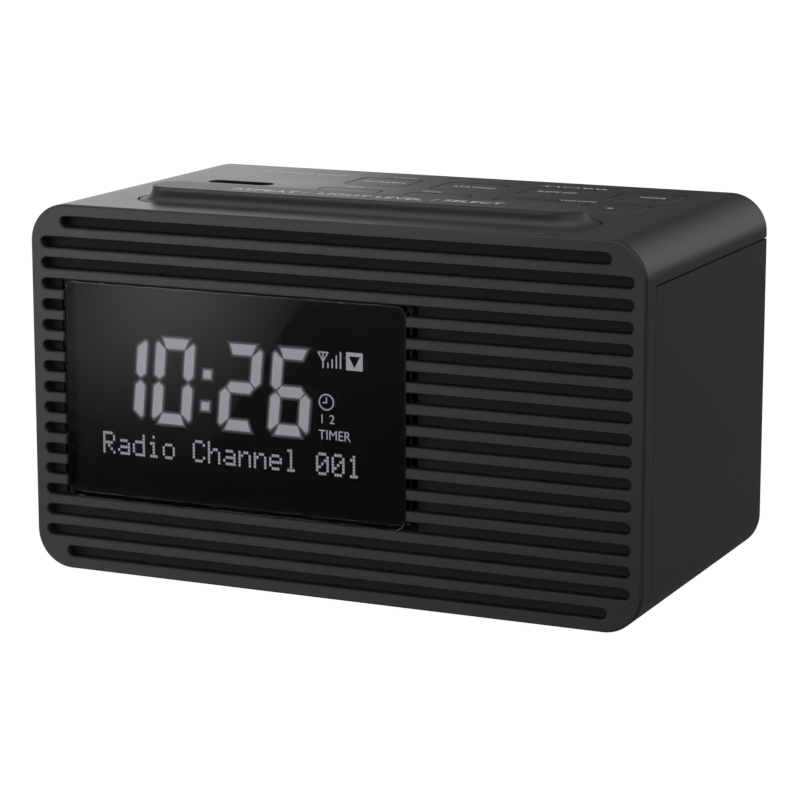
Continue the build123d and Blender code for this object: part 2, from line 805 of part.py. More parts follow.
# ---------------------------------------------------------------- main board
connector_front_y = main_board_front_y
connector_z = main_board_top_z + 3.0
display_cable_x = -30.0
key_cable_x = 8.0
key_cable_y = 30.0
with BuildPart() as main_board:
    with BuildSketch(at_z(main_board_z)):
        lying_box(-main_board_width / 2, main_board_width / 2, main_board_front_y, main_board_back_y)
        with Locations(*main_posts):
            Circle(small_screw_radius, mode=Mode.SUBTRACT)
    extrude(amount=board_thickness)
save(main_board, "main_board")

with BuildPart() as tuner_shield:
    with BuildSketch(at_z(main_board_top_z)):
        with Locations((-36, 14)):
            Rectangle(30, 22)
    extrude(amount=5.0)
    with BuildSketch(at_z(main_board_top_z)):
        with Locations((-36, 14)):
            Rectangle(29.2, 21.2)
    extrude(amount=4.6, mode=Mode.SUBTRACT)
save(tuner_shield, "tuner_shield")

with BuildPart() as board_chips:
    with BuildSketch(at_z(main_board_top_z)):
        with Locations((-6, 10)):
            Rectangle(14, 14)
        with Locations((22, 8)):
            Rectangle(9, 12)
        with Locations((-36, 14)):
            Rectangle(8, 8)
        with Locations((10, 18)):
            Rectangle(6, 5)
    extrude(amount=1.4)
save(board_chips, "board_chips")

capacitor_sizes = [(44, 26, 5.0, 16.0), (44, 12, 4.0, 12.0), (34, 18, 3.2, 9.0), (15, 2, 2.5, 7.0)]
with BuildPart() as capacitors:
    for can_x, can_y, can_radius, can_height in capacitor_sizes:
        with BuildSketch(at_z(main_board_top_z)):
            with Locations((can_x, can_y)):
                Circle(can_radius)
        extrude(amount=can_height)
save(capacitors, "capacitors")

with BuildPart() as board_connectors:
    # on the main board: display cable, speaker leads and key cable
    with BuildSketch(at_z(main_board_top_z)):
        with Locations((display_cable_x, connector_front_y + 2.5)):
            Rectangle(20, 5)
        with Locations((speaker_x, connector_front_y + 2.5)):
            Rectangle(10, 5)
        with Locations((key_cable_x, key_cable_y + 5)):
            Rectangle(20, 5)
    extrude(amount=5.5)
    # under the key board and behind the display board
    with BuildSketch(at_z(key_board_z - 4)):
        with Locations((key_cable_x, key_cable_y)):
            Rectangle(20, 5)
    extrude(amount=4)
    with BuildSketch(at_y(display_board_y + 4)):
        with Locations((display_cable_x, 28)):
            Rectangle(20, 4)
    extrude(amount=4)
save(board_connectors, "board_connectors")

# flat cables, drawn as a line seen from the side and given their width
cable_start_y = display_board_y + 2
with BuildPart() as ribbon_cables:
    with BuildSketch(Plane.YZ.offset(display_cable_x - 8)):
        with BuildLine():
            FilletPolyline(
                (cable_start_y, 26), (cable_start_y, connector_z), (connector_front_y, connector_z),
                radius=6.0,
            )
        trace(line_width=0.6)
    extrude(amount=16)
    with BuildSketch(Plane.YZ.offset(key_cable_x - 8)):
        with BuildLine():
            FilletPolyline(
                (key_cable_y, key_board_z - 4), (key_cable_y, 60), (key_cable_y + 5, 40),
                (key_cable_y + 5, main_board_top_z + 5.5),
                radius=12.0,
            )
        trace(line_width=0.6)
    extrude(amount=16)
save(ribbon_cables, "ribbon_cables")

lead_radius = 0.7
lead_drop = terminal_z - 2 - connector_z
lead_bend = 0.45 * lead_drop
with BuildPart() as speaker_leads:
    for lead_x in lead_points:
        with BuildLine() as lead_path:
            FilletPolyline(
                (lead_x, -33.0, terminal_z - 2), (lead_x, -33.0, connector_z),
                (lead_x, connector_front_y, connector_z),
                radius=lead_bend,
            )
        with BuildSketch(at_z(terminal_z - 2)):
            with Locations((lead_x, -33.0)):
                Circle(lead_radius)
        sweep(path=lead_path.line)
save(speaker_leads, "speaker_leads")
print("speaker lead bend radius", round(lead_bend, 2))

# ---------------------------------------------------------------- back panel fittings
jack_nose_y = rear_y - 0.9
with BuildPart() as power_jack:
    with BuildSketch(at_z(main_board_top_z)):
        lying_box(jack_x - 4.5, jack_x + 4.5, 32.0, inner_rear_y - 0.1)
    extrude(amount=jack_z + 4.5 - main_board_top_z)
    with BuildSketch(at_y(jack_nose_y)):
        with Locations((jack_x, jack_z)):
            Circle(4.0)
    extrude(amount=jack_nose_y - inner_rear_y + 0.1)
    with BuildSketch(at_y(jack_nose_y)):
        with Locations((jack_x, jack_z)):
            Circle(2.8)
    extrude(amount=10.5, mode=Mode.SUBTRACT)
    with BuildSketch(at_y(jack_nose_y - 1)):
        with Locations((jack_x, jack_z)):
            Circle(1.0)
    extrude(amount=10.5)
save(power_jack, "power_jack")

# rubber bush where the wire aerial leaves
with BuildPart() as aerial_grommet:
    with BuildSketch(at_y(rear_y)):
        with Locations((aerial_x, aerial_z)):
            Circle(4.5)
    extrude(amount=0.9)
    with BuildSketch(at_y(rear_y - 0.9)):
        with Locations((aerial_x, aerial_z)):
            Circle(3.0)
    extrude(amount=wall - 0.9)
    with BuildSketch(at_y(inner_rear_y)):
        with Locations((aerial_x, aerial_z)):
            Circle(4.2)
    extrude(amount=1.2)
    with BuildSketch(at_y(rear_y)):
        with Locations((aerial_x, aerial_z)):
            Circle(1.1)
    extrude(amount=5, mode=Mode.SUBTRACT)
save(aerial_grommet, "aerial_grommet")

# ---------------------------------------------------------------- battery door and cells
door_left = bay_left + door_gap
door_right = bay_right - door_gap
door_top_z = bay_top_z - door_gap
with BuildPart() as battery_door:
    with BuildSketch(at_y(rear_y)):
        upright_box(door_left, door_right, hinge_z, door_top_z)
    extrude(amount=wall)
    with BuildSketch(Plane.YZ.offset(door_left)):
        with Locations((hinge_y, hinge_z)):
            Circle(hinge_radius)
    extrude(amount=door_right - door_left)
    with BuildSketch(Plane.YZ.offset(door_left - 1.3)):
        with Locations((hinge_y, hinge_z)):
            Circle(hinge_pin_radius)
    extrude(amount=door_right - door_left + 2.6)
    # latch nib in the middle of the top edge and ribs inside
    with BuildSketch(at_z(door_top_z)):
        lying_box((bay_left + bay_right) / 2 - 5, (bay_left + bay_right) / 2 + 5, rear_y - 2, rear_y - 1.2)
    extrude(amount=0.2)
    with BuildSketch(at_y(rear_y - wall)):
        upright_box(door_left + 4, door_right - 4, hinge_z + 5, hinge_z + 6)
        upright_box(door_left + 4, door_right - 4, door_top_z - 6, door_top_z - 5)
    extrude(amount=1.0)
save(battery_door, "battery_door")

cell_left = bay_left + 3.5
with BuildPart() as backup_cells:
    with BuildSketch(Plane.YZ.offset(cell_left)):
        with Locations(*[(cell_y, z) for z in cell_heights]):
            Circle(cell_radius)
    extrude(amount=cell_length)
    fillet(backup_cells.edges().filter_by(GeomType.CIRCLE), 0.6)
    with BuildSketch(Plane.YZ.offset(cell_left + cell_length)):
        with Locations((cell_y, cell_heights[0])):
            Circle(1.9)
    extrude(amount=0.8)
    with BuildSketch(Plane.YZ.offset(cell_left - 0.8)):
        with Locations((cell_y, cell_heights[1])):
            Circle(1.9)
    extrude(amount=0.8)
save(backup_cells, "backup_cells")

# contact plates with a bowed leaf that presses each cell's end
with BuildPart() as battery_contacts:
    for cell_z in cell_heights:
        for plate_x, bow in ((bay_left, 1), (bay_right, -1)):
            with BuildSketch(at_z(cell_z - 4)):
                with Locations((plate_x + bow * 0.2, cell_y)):
                    Rectangle(0.4, 10)
                with BuildLine():
                    ThreePointArc(
                        (plate_x + bow * 0.3, cell_y - 4), (plate_x + bow * 2.2, cell_y),
                        (plate_x + bow * 0.3, cell_y + 4),
                    )
                trace(line_width=0.3)
            extrude(amount=8)
save(battery_contacts, "battery_contacts")


# ---------------------------------------------------------------- screws
def screw_group(plane, points, shank_radius, head_radius, shank_length):
    # pan heads on the plane's near side, shanks along its normal, cross recess in each head
    with BuildPart() as group:
        with BuildSketch(plane.offset(-head_height)):
            with Locations(*points):
                Circle(head_radius)
        extrude(amount=head_height)
        with BuildSketch(plane):
            with Locations(*points):
                Circle(shank_radius)
        extrude(amount=shank_length)
        with BuildSketch(plane.offset(-head_height)):
            with Locations(*points):
                Rectangle(1.5 * head_radius, 0.36 * head_radius)
                Rectangle(0.36 * head_radius, 1.5 * head_radius)
        extrude(amount=recess_depth, mode=Mode.SUBTRACT)
    return group.part


def save_screws(name, groups):
    with BuildPart() as screws:
        add(groups)
    save(screws, name)


save_screws("cabinet_screws", [
    screw_group(at_z(well_top_z), rear_screws, cabinet_screw_radius, cabinet_head_radius, 12.0),
    screw_group(at_z(inner_floor_z), front_screws, cabinet_screw_radius, cabinet_head_radius, 7.0),
])

save_screws("panel_screws", [
    screw_group(at_y(rim_back_y), ear_points, small_screw_radius, small_head_radius, 3.5),
    screw_group(at_y(ring_back_y), corner_screws, small_screw_radius, small_head_radius, 3.4),
    screw_group(at_y(ear_back_y), display_screw_points, small_screw_radius, small_head_radius, 5.0),
])

# the main board's screws point down, so their plane is turned over
from_above = Plane((0, 0, main_board_top_z), x_dir=(1, 0, 0), z_dir=(0, 0, -1))
mirrored_posts = [(x, -y) for x, y in main_posts]
save_screws("board_screws", [
    screw_group(at_z(key_board_z), key_posts, small_screw_radius, small_head_radius, 7.0),
    screw_group(from_above, mirrored_posts, small_screw_radius, small_head_radius, 5.0),
])
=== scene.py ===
import bpy, bmesh, json
from math import radians, sin, cos, pi
from mathutils import Vector, Matrix


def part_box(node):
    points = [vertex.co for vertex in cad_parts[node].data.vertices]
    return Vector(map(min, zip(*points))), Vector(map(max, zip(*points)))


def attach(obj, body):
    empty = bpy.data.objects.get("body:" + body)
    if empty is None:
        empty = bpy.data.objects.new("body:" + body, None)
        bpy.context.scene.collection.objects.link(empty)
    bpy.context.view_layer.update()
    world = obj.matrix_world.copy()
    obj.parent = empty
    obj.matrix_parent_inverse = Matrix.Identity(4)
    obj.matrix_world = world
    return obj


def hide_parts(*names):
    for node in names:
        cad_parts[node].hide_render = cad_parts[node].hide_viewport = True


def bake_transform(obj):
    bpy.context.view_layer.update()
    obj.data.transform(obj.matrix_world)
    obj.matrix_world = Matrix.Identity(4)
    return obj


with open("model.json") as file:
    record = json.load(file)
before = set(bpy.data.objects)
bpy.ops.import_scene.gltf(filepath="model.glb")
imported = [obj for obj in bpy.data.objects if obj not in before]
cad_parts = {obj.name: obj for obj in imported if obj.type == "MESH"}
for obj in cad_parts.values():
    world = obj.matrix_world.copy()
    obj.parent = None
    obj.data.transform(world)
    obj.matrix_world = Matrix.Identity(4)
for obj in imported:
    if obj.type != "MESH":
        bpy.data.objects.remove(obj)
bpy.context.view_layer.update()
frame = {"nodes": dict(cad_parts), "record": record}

mm = 0.001
print("frame loaded:", len(frame["nodes"]), "nodes")


# ------- node and material helpers
def makeGroup(name, inputs, outputs):
    group = bpy.data.node_groups.new(name, "ShaderNodeTree")
    for label, kind, value in inputs:
        socket = group.interface.new_socket(name=label, in_out="INPUT", socket_type=kind)
        if value is not None:
            socket.default_value = value
    for label, kind in outputs:
        group.interface.new_socket(name=label, in_out="OUTPUT", socket_type=kind)
    start = group.nodes.new("NodeGroupInput")
    end = group.nodes.new("NodeGroupOutput")
    return group, start, end


def mathNode(tree, operation, first, second=None, clamp=False):
    node = tree.nodes.new("ShaderNodeMath")
    node.operation = operation
    node.use_clamp = clamp
    for i, value in enumerate((first, second)):
        if value is None:
            continue
        if isinstance(value, (int, float)):
            node.inputs[i].default_value = value
        else:
            tree.links.new(value, node.inputs[i])
    return node.outputs[0]


def noiseNode(tree, vector, scale, detail=3.0, roughness=0.5):
    node = tree.nodes.new("ShaderNodeTexNoise")
    node.inputs["Scale"].default_value = scale
    node.inputs["Detail"].default_value = detail
    node.inputs["Roughness"].default_value = roughness
    tree.links.new(vector, node.inputs["Vector"])
    return node.outputs["Fac"]


def buildGrainGroup():
    # fine moulded grain: a height for bump, a slow cloud for the colour and a gloss change
    group, start, end = makeGroup(
        "mouldedGrain",
        [("Vector", "NodeSocketVector", None), ("Grain Scale", "NodeSocketFloat", 2600.0),
         ("Cloud Scale", "NodeSocketFloat", 45.0)],
        [("Height", "NodeSocketFloat"), ("Cloud", "NodeSocketFloat"), ("Gloss", "NodeSocketFloat")],
    )
    fine = group.nodes.new("ShaderNodeTexNoise")
    fine.inputs["Detail"].default_value = 2.0
    group.links.new(start.outputs["Vector"], fine.inputs["Vector"])
    group.links.new(start.outputs["Grain Scale"], fine.inputs["Scale"])
    cells = group.nodes.new("ShaderNodeTexVoronoi")
    cells.feature = "SMOOTH_F1"
    group.links.new(start.outputs["Vector"], cells.inputs["Vector"])
    group.links.new(start.outputs["Grain Scale"], cells.inputs["Scale"])
    cloud = group.nodes.new("ShaderNodeTexNoise")
    cloud.inputs["Detail"].default_value = 4.0
    group.links.new(start.outputs["Vector"], cloud.inputs["Vector"])
    group.links.new(start.outputs["Cloud Scale"], cloud.inputs["Scale"])
    height = mathNode(group, "ADD", mathNode(group, "MULTIPLY", fine.outputs["Fac"], 0.6),
                      mathNode(group, "MULTIPLY", cells.outputs["Distance"], 0.4))
    group.links.new(height, end.inputs["Height"])
    group.links.new(cloud.outputs["Fac"], end.inputs["Cloud"])
    gloss = mathNode(group, "ADD", mathNode(group, "MULTIPLY", cloud.outputs["Fac"], 0.6),
                     mathNode(group, "MULTIPLY", fine.outputs["Fac"], 0.4))
    group.links.new(gloss, end.inputs["Gloss"])
    return group


def buildWearGroup():
    # a mask that is high on handled outside edges and in a few soft rubbed patches
    group, start, end = makeGroup(
        "handledEdges",
        [("Vector", "NodeSocketVector", None), ("Patch Scale", "NodeSocketFloat", 160.0)],
        [("Mask", "NodeSocketFloat")],
    )
    geometry = group.nodes.new("ShaderNodeNewGeometry")
    raised = mathNode(group, "SUBTRACT", geometry.outputs["Pointiness"], 0.52)
    edge = mathNode(group, "MULTIPLY", raised, 8.0, True)
    # only where the surface turns away from the box's own directions, so that flat faces stay clean
    split = group.nodes.new("ShaderNodeSeparateXYZ")
    group.links.new(geometry.outputs["Normal"], split.inputs["Vector"])
    level = mathNode(group, "ABSOLUTE", split.outputs["X"])
    for axis in "YZ":
        level = mathNode(group, "MAXIMUM", level, mathNode(group, "ABSOLUTE", split.outputs[axis]))
    turned = mathNode(group, "MULTIPLY", mathNode(group, "SUBTRACT", 0.99, level), 12.0, True)
    edge = mathNode(group, "MULTIPLY", edge, turned)
    patch = group.nodes.new("ShaderNodeTexNoise")
    patch.inputs["Detail"].default_value = 3.0
    group.links.new(start.outputs["Vector"], patch.inputs["Vector"])
    group.links.new(start.outputs["Patch Scale"], patch.inputs["Scale"])
    group.links.new(mathNode(group, "MULTIPLY", edge, patch.outputs["Fac"], True), end.inputs["Mask"])
    return group


def buildDustGroup():
    # a thin film of dust that settles on faces turned upwards
    group, start, end = makeGroup(
        "settledDust",
        [("Vector", "NodeSocketVector", None), ("Speck Scale", "NodeSocketFloat", 900.0)],
        [("Mask", "NodeSocketFloat")],
    )
    geometry = group.nodes.new("ShaderNodeNewGeometry")
    split = group.nodes.new("ShaderNodeSeparateXYZ")
    group.links.new(geometry.outputs["Normal"], split.inputs["Vector"])
    specks = group.nodes.new("ShaderNodeTexNoise")
    specks.inputs["Detail"].default_value = 5.0
    specks.inputs["Roughness"].default_value = 0.7
    group.links.new(start.outputs["Vector"], specks.inputs["Vector"])
    group.links.new(start.outputs["Speck Scale"], specks.inputs["Scale"])
    above = mathNode(group, "SUBTRACT", specks.outputs["Fac"], 0.56)
    sparse = mathNode(group, "MULTIPLY", above, 5.0, True)
    group.links.new(mathNode(group, "MULTIPLY", sparse, split.outputs["Z"], True), end.inputs["Mask"])
    return group


grainGroup = buildGrainGroup()
wearGroup = buildWearGroup()
dustGroup = buildDustGroup()


def startMaterial(name, roughness, metallic=0.0, color=(0.5, 0.5, 0.5)):
    material = bpy.data.materials.new(name)
    material.use_nodes = True
    material.diffuse_color = (*color, 1.0)
    tree = material.node_tree
    shader = tree.nodes["Principled BSDF"]
    shader.inputs["Roughness"].default_value = roughness
    shader.inputs["Metallic"].default_value = metallic
    shader.inputs["Base Color"].default_value = (*color, 1.0)
    place = tree.nodes.new("ShaderNodeTexCoord").outputs["Object"]
    return material, tree, shader, place


def useGroup(tree, group, place, **values):
    node = tree.nodes.new("ShaderNodeGroup")
    node.node_tree = group
    tree.links.new(place, node.inputs["Vector"])
    for label, value in values.items():
        node.inputs[label.replace("_", " ")].default_value = value
    return node


def mixColors(tree, factor, first, second):
    node = tree.nodes.new("ShaderNodeMix")
    node.data_type = "RGBA"
    for value, index in ((factor, 0), (first, 6), (second, 7)):
        if isinstance(value, (int, float)):
            node.inputs[index].default_value = value
        elif isinstance(value, tuple):
            node.inputs[index].default_value = (*value, 1.0)
        else:
            tree.links.new(value, node.inputs[index])
    return node.outputs[2]


def spread(tree, value, low, high):
    node = tree.nodes.new("ShaderNodeMapRange")
    node.inputs["To Min"].default_value = low
    node.inputs["To Max"].default_value = high
    tree.links.new(value, node.inputs["Value"])
    return node.outputs["Result"]


def addBump(tree, shader, height, strength, distance):
    bump = tree.nodes.new("ShaderNodeBump")
    bump.inputs["Strength"].default_value = strength
    bump.inputs["Distance"].default_value = distance
    tree.links.new(height, bump.inputs["Height"])
    tree.links.new(bump.outputs["Normal"], shader.inputs["Normal"])


dustColor = (0.35, 0.34, 0.32)
blackDark, blackLight = (0.017, 0.017, 0.018), (0.024, 0.024, 0.025)


def plasticMaterial(name, dark, light, roughLow, roughHigh, grainScale, bump, dust=0.0):
    material, tree, shader, place = startMaterial(name, roughLow, 0.0, dark)
    grain = useGroup(tree, grainGroup, place, Grain_Scale=grainScale)
    wear = useGroup(tree, wearGroup, place)
    color = mixColors(tree, grain.outputs["Cloud"], dark, light)
    rubbed = mathNode(tree, "MULTIPLY", wear.outputs["Mask"], 0.5)
    worn = mixColors(tree, rubbed, color, tuple(3 * c for c in light))
    if dust:
        film = useGroup(tree, dustGroup, place)
        thin = mathNode(tree, "MULTIPLY", film.outputs["Mask"], dust)
        worn = mixColors(tree, thin, worn, dustColor)
    tree.links.new(worn, shader.inputs["Base Color"])
    tree.links.new(spread(tree, grain.outputs["Gloss"], roughLow, roughHigh), shader.inputs["Roughness"])
    addBump(tree, shader, grain.outputs["Height"], bump, 0.00003)
    return material


def metalMaterial(name, dark, light, roughLow, roughHigh):
    material, tree, shader, place = startMaterial(name, roughLow, 1.0, light)
    grain = useGroup(tree, grainGroup, place, Grain_Scale=1500.0, Cloud_Scale=120.0)
    tree.links.new(mixColors(tree, grain.outputs["Cloud"], dark, light), shader.inputs["Base Color"])
    tree.links.new(spread(tree, grain.outputs["Gloss"], roughLow, roughHigh), shader.inputs["Roughness"])
    addBump(tree, shader, grain.outputs["Height"], 0.12, 0.00002)
    return material


def clothMaterial(name, dark, light, threadsPerMetre):
    # plain weave from two crossed waves, over and under
    material, tree, shader, place = startMaterial(name, 0.9, 0.0, dark)
    split = tree.nodes.new("ShaderNodeSeparateXYZ")
    tree.links.new(place, split.inputs["Vector"])
    turns = 2 * pi * threadsPerMetre
    across = mathNode(tree, "SINE", mathNode(tree, "MULTIPLY", split.outputs["X"], turns))
    along = mathNode(tree, "SINE", mathNode(tree, "MULTIPLY", split.outputs["Z"], turns))
    weave = mathNode(tree, "MULTIPLY", across, along)
    fuzz = noiseNode(tree, place, 5000.0, 2.0)
    height = mathNode(tree, "ADD", spread(tree, weave, 0.2, 0.8), mathNode(tree, "MULTIPLY", fuzz, 0.3))
    tree.links.new(mixColors(tree, height, dark, light), shader.inputs["Base Color"])
    shader.inputs["Sheen Weight"].default_value = 0.25
    addBump(tree, shader, height, 0.5, 0.00015)
    return material


def glowMaterial(name, color, strength):
    material, tree, shader, place = startMaterial(name, 0.5, 0.0, color)
    cloud = noiseNode(tree, place, 220.0, 2.0)
    tree.links.new(mixColors(tree, spread(tree, cloud, 0.0, 0.35), color, tuple(0.8 * c for c in color)),
                   shader.inputs["Emission Color"])
    shader.inputs["Emission Strength"].default_value = strength
    shader.inputs["Base Color"].default_value = (0.02, 0.02, 0.02, 1.0)
    return material


# dark and light colour, least and most roughness, grains per metre, depth of the grain, dust
plastics = {
    "satinBlack": (blackDark, blackLight, 0.31, 0.39, 2600.0, 0.35, 0.05),
    "grilleBlack": (blackDark, blackLight, 0.48, 0.55, 2600.0, 0.35, 0.05),
    "barBlack": (blackDark, blackLight, 0.4, 0.46, 3000.0, 0.3, 0.04),
    "keyBlack": ((0.015, 0.015, 0.016), (0.021, 0.021, 0.022), 0.33, 0.42, 3000.0, 0.3, 0.04),
    "innerBlack": ((0.012, 0.012, 0.012), (0.02, 0.02, 0.02), 0.5, 0.6, 1800.0, 0.3),
    "paleMoulding": ((0.55, 0.55, 0.5), (0.66, 0.66, 0.62), 0.35, 0.5, 1500.0, 0.2),
    "footRubber": ((0.02, 0.02, 0.02), (0.035, 0.034, 0.033), 0.7, 0.85, 1600.0, 0.5),
    "boardGreen": ((0.01, 0.09, 0.035), (0.02, 0.16, 0.06), 0.3, 0.45, 900.0, 0.4),
    "conePaper": ((0.02, 0.02, 0.02), (0.05, 0.048, 0.045), 0.8, 0.95, 900.0, 0.9),
    "ferrite": ((0.03, 0.03, 0.032), (0.06, 0.06, 0.06), 0.55, 0.75, 1200.0, 0.6),
    "cableGrey": ((0.3, 0.3, 0.3), (0.4, 0.4, 0.4), 0.5, 0.6, 1400.0, 0.3),
    "blackSteel": ((0.02, 0.02, 0.02), (0.035, 0.035, 0.035), 0.35, 0.5, 1200.0, 0.2),
    "cellJacket": ((0.05, 0.06, 0.07), (0.09, 0.1, 0.11), 0.25, 0.35, 1200.0, 0.15),
    "labelInk": ((0.62, 0.62, 0.63), (0.74, 0.74, 0.75), 0.5, 0.6, 1500.0, 0.2),
}
# dark and light colour, least and most roughness
metals = {
    "platedSteel": ((0.45, 0.45, 0.47), (0.65, 0.65, 0.67), 0.22, 0.4),
    "canAluminium": ((0.6, 0.6, 0.62), (0.75, 0.75, 0.77), 0.25, 0.4),
    "coilCopper": ((0.5, 0.24, 0.1), (0.7, 0.38, 0.2), 0.3, 0.45),
}
# dark and light colour, threads per metre
cloths = {
    "spiderCloth": ((0.3, 0.2, 0.07), (0.5, 0.36, 0.14), 900.0),
    # the grille cloth is darker than black cloth is: besides the cloth's own black, its colour paints the
    # shade inside the grille slots
    "grilleCloth": ((0.001, 0.001, 0.001), (0.005, 0.005, 0.005), 1500.0),
}
# colour and strength
glows = {
    "haloInner": ((0.6, 0.6, 0.64), 0.5),
    "haloOuter": ((0.6, 0.6, 0.64), 0.2),
    "segmentGlow": ((0.60, 0.605, 0.65), 1.7),
}
finishes = {}
for make, kinds in ((plasticMaterial, plastics), (metalMaterial, metals),
                    (clothMaterial, cloths), (glowMaterial, glows)):
    for name, values in kinds.items():
        finishes[name] = make(name, *values)


def smokedWindow():
    # polished smoked acrylic with a faint uneven smear
    material, tree, shader, place = startMaterial("smokedWindow", 0.03, 0.0, (0.3, 0.3, 0.31))
    shader.inputs["Transmission Weight"].default_value = 1.0
    shader.inputs["IOR"].default_value = 1.49
    smear = noiseNode(tree, place, 60.0, 4.0)
    tree.links.new(spread(tree, smear, 0.0, 0.02), shader.inputs["Roughness"])
    smoke = mixColors(tree, smear, (0.28, 0.28, 0.29), (0.31, 0.31, 0.32))
    tree.links.new(smoke, shader.inputs["Base Color"])
    return material


def darkGlass():
    # the display behind the lens while its segments are off
    material, tree, shader, place = startMaterial("darkGlass", 0.1, 0.0, (0.004, 0.004, 0.005))
    cloud = noiseNode(tree, place, 90.0, 2.0)
    offColor = mixColors(tree, cloud, (0.003, 0.003, 0.004), (0.006, 0.006, 0.008))
    tree.links.new(offColor, shader.inputs["Base Color"])
    tree.links.new(spread(tree, cloud, 0.4, 0.6), shader.inputs["Roughness"])
    return material


finishes["smokedWindow"] = smokedWindow()
finishes["darkGlass"] = darkGlass()
print("materials:", len(finishes))


# ------- meshes
def paint(piece, finish):
    piece.data.materials.clear()
    piece.data.materials.append(finishes[finish])


def smoothMesh(mesh, angle=35):
    mesh.polygons.foreach_set("use_smooth", [True] * len(mesh.polygons))
    mesh.set_sharp_from_angle(angle=radians(angle))


def addPiece(name, mesh, body, finish=None):
    piece = bpy.data.objects.new(name, mesh)
    bpy.context.scene.collection.objects.link(piece)
    if finish:
        paint(piece, finish)
    if body:
        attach(piece, body)
    return piece


def bodyOf(node):
    for body, members in frame["record"]["behaviour"]["bodies"].items():
        if node in members:
            return body


def remade(node, name, finish, bevel=0.12):
    # a merged copy of a CAD shell with rounded edges and even shading, in place of the node
    shape = bmesh.new()
    shape.from_mesh(frame["nodes"][node].data)
    bmesh.ops.remove_doubles(shape, verts=shape.verts, dist=1e-6)
    bmesh.ops.dissolve_limit(shape, angle_limit=radians(0.4), verts=shape.verts, edges=shape.edges)
    mesh = bpy.data.meshes.new(name)
    shape.to_mesh(mesh)
    shape.free()
    smoothMesh(mesh)
    piece = addPiece(name, mesh, None, finish)
    if bevel:
        soften = piece.modifiers.new("soften", "BEVEL")
        soften.width = bevel * mm
        soften.segments = 2
        soften.limit_method = "ANGLE"
        soften.angle_limit = radians(35)
        soften.face_strength_mode = "FSTR_ALL"
    even = piece.modifiers.new("even", "WEIGHTED_NORMAL")
    even.keep_sharp = True
    even.use_face_influence = True
    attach(piece, bodyOf(node))
    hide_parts(node)
    return piece


shells = {
    "front_panel": ("grilleFront", "grilleBlack", 0.18),
    "upper_cabinet": ("topCover", "satinBlack", 0.12),
    "lower_cabinet": ("caseTub", "satinBlack", 0.12),
    "snooze_bar": ("snoozeBar", "barBlack", 0.06),
    "battery_door": ("batteryDoor", "satinBlack", 0.12),
}
for node, (name, finish, bevel) in shells.items():
    remade(node, name, finish, bevel)
buttons = [n for n in frame["nodes"] if n.endswith("_button")]
for node in buttons:
    words = node.split("_")
    remade(node, words[0] + "".join(w.capitalize() for w in words[1:]), "keyBlack", 0.1)
remade("display_lens", "smokedLens", "smokedWindow", 0)
cloth = remade("speaker_cloth", "grilleClothSheet", "grilleCloth", 0)
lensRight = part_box("display_lens")[1][0]
for vertex in cloth.data.vertices:
    if lensRight < vertex.co.x < lensRight + 7 * mm:
        vertex.co.x = lensRight + 0.2 * mm  # the cloth reaches the lens, so no gap shows beside it
remade("rubber_feet", "standingFeet", "footRubber", 0.2)
print("shells and keys remade:", len(shells) + len(buttons) + 3)


def softRing(node, name, finish, sectors=12):
    # a ring between the moving cone and the fixed basket, cut into sectors around its centre
    low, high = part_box(node)
    centre = Vector([(a + b) / 2 for a, b in zip(low, high)])
    for i in range(sectors):
        turn = 2 * pi * i / sectors
        shape = bmesh.new()
        shape.from_mesh(frame["nodes"][node].data)
        bmesh.ops.remove_doubles(shape, verts=shape.verts, dist=1e-6)
        for sign in (1, -1):
            edge = turn + sign * pi / sectors
            whole = shape.verts[:] + shape.edges[:] + shape.faces[:]
            across = Vector((-sin(edge), 0, cos(edge))) * sign
            bmesh.ops.bisect_plane(shape, geom=whole, plane_co=centre, plane_no=across, clear_outer=True)
        bmesh.ops.holes_fill(shape, edges=[e for e in shape.edges if e.is_boundary], sides=0)
        bmesh.ops.recalc_face_normals(shape, faces=shape.faces)
        mesh = bpy.data.meshes.new(f"{name}{i + 1:02d}")
        shape.to_mesh(mesh)
        shape.free()
        smoothMesh(mesh)
        piece = addPiece(mesh.name, mesh, None, finish)
        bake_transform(piece)
        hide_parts(node)


softRing("speaker_spider", "spiderSector", "spiderCloth")
softRing("speaker_surround", "surroundSector", "footRubber")
print("speaker rings cut into sectors")

nodeFinishes = {
    "innerBlack": ["speaker_baffle", "speaker_terminals", "power_jack", "tact_switches", "board_chips",
                   "usb_tongue"],
    "paleMoulding": ["backlight_guide", "board_connectors", "snooze_plungers"]
    + [n for n in frame["nodes"] if n.endswith("_plunger")],
    "darkGlass": ["lcd_glass", "lcd_holder"],
    "boardGreen": ["display_board", "key_board", "main_board"],
    "footRubber": ["aerial_grommet", "speaker_gasket"],
    "conePaper": ["speaker_cone", "dust_cap"],
    "coilCopper": ["voice_coil"],
    "platedSteel": ["speaker_top_plate", "speaker_yoke", "tuner_shield", "usb_socket", "battery_contacts",
                    "cabinet_screws", "panel_screws", "board_screws"],
    "blackSteel": ["speaker_basket"],
    "ferrite": ["speaker_magnet"],
    "canAluminium": ["capacitors"],
    "cableGrey": ["ribbon_cables", "speaker_leads"],
    "cellJacket": ["backup_cells"],
}
for finish, names in nodeFinishes.items():
    for name in names:
        paint(frame["nodes"][name], finish)


